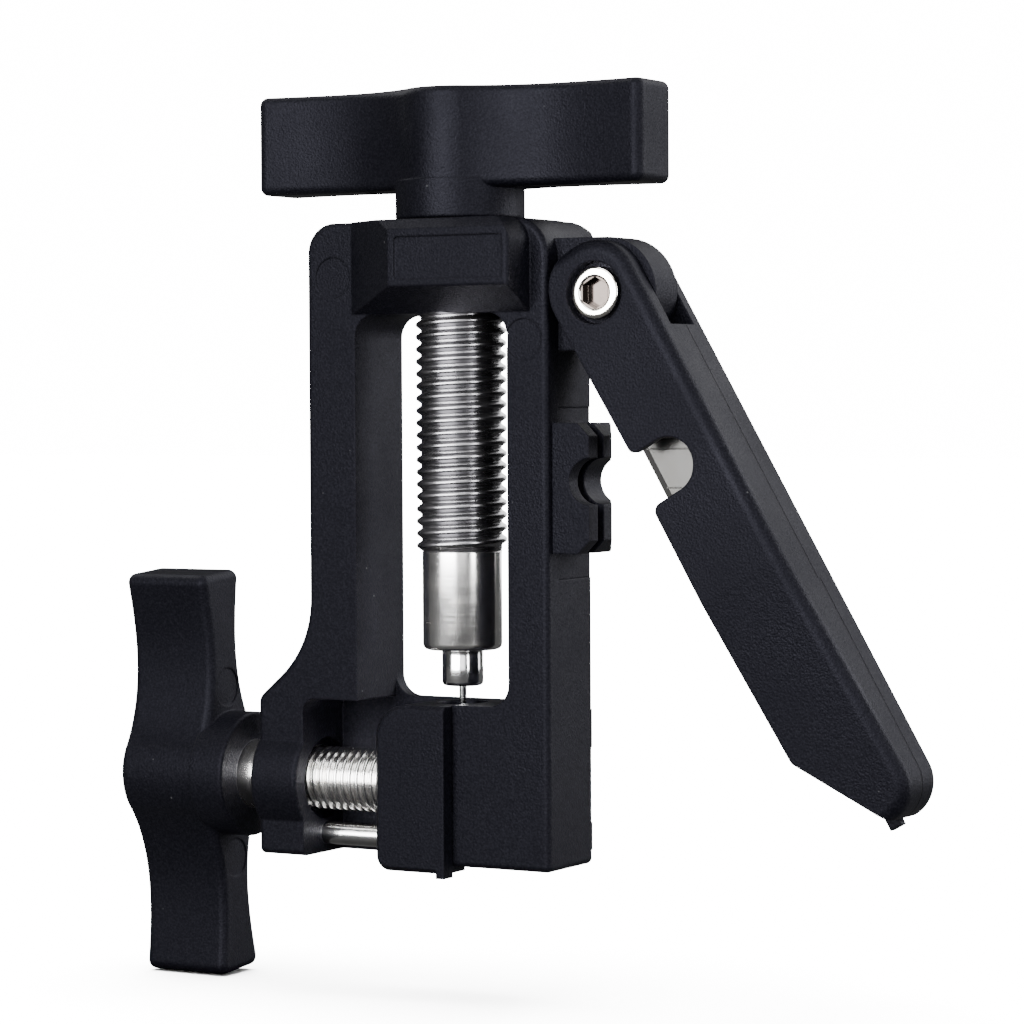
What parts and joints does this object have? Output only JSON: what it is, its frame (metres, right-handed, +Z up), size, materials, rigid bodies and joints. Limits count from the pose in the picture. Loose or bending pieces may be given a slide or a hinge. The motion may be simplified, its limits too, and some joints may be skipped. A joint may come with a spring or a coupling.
{
  "type": "hydraulic hose press and cutter",
  "caption": "Hand tool with a needle press screw over a screw-clamped hose jaw and a hinged lever that closes a blade on a notched anvil to cut hydraulic brake hose.",
  "frame": {"origin": "mouth of the hose bore in the frame's lower face, on the axis that the hose and the press needle share", "axes": "+Z up that axis to the press knob, +X towards the cutting lever, -Y the front face"},
  "size_m": [0.1166, 0.0234, 0.1209],
  "materials": {
    "black_nylon": "fine spark-eroded texture, black glass-filled nylon",
    "screw_steel": "turned bright steel",
    "ground_steel": "ground and polished steel",
    "zinc_steel": "zinc-plated steel insert",
    "spring_steel": "blackened spring steel",
    "blade_steel": "ground blade steel",
    "bright_chrome": "nickel plated",
    "dark_screw_steel": "black oxide screws",
    "washer_nylon": "natural nylon washers"
  },
  "bodies": {
    "frame": {"frame_body": "black_nylon", "press_nut": "zinc_steel", "clamp_nut": "zinc_steel", "guide_pin": "ground_steel", "cutting_anvil": "black_nylon", "pivot_bush": "ground_steel"},
    "needle_carriage": {"needle_holder": "ground_steel", "press_needle": "ground_steel", "needle_ring": "spring_steel", "thrust_ball": "ground_steel"},
    "press_spindle": {"press_screw": "screw_steel", "press_knob": "black_nylon"},
    "jaw_carriage": {"clamp_jaw": "black_nylon", "jaw_clip": "spring_steel"},
    "clamp_spindle": {"clamp_screw": "screw_steel", "clamp_knob": "black_nylon"},
    "cutting_lever": {"lever_front_shell": "black_nylon", "lever_back_shell": "black_nylon", "cutter_blade": "blade_steel", "pivot_screw": "bright_chrome", "pivot_nut": "bright_chrome", "pivot_washers": "washer_nylon", "shell_screws": "dark_screw_steel"}
  },
  "joints": [
    {"name": "needle_slide", "type": "slide", "parent": "frame", "child": "needle_carriage", "axis": [0, 0, 1], "range_m": [0, 0.03]},
    {"name": "press_turn", "type": "hinge", "parent": "needle_carriage", "child": "press_spindle", "pos_m": [0, 0, 0.0854], "axis": [0, 0, 1], "range_deg": [0, 6600]},
    {"name": "jaw_slide", "type": "slide", "parent": "frame", "child": "jaw_carriage", "axis": [1, 0, 0], "range_m": [-0.009, 0]},
    {"name": "clamp_turn", "type": "hinge", "parent": "jaw_carriage", "child": "clamp_spindle", "pos_m": [-0.0335, 0, 0.0101], "axis": [1, 0, 0], "range_deg": [-2840, 0]},
    {"name": "lever_swing", "type": "hinge", "parent": "frame", "child": "cutting_lever", "pos_m": [0.0236, 0, 0.0753], "axis": [0, 1, 0], "range_deg": [-60, 29.5]}
  ],
  "couplings": [
    {"joint": "needle_slide", "follows": "press_turn", "m_per_rad": 0.00025995},
    {"joint": "jaw_slide", "follows": "clamp_turn", "m_per_rad": 0.00018082}
  ]
}
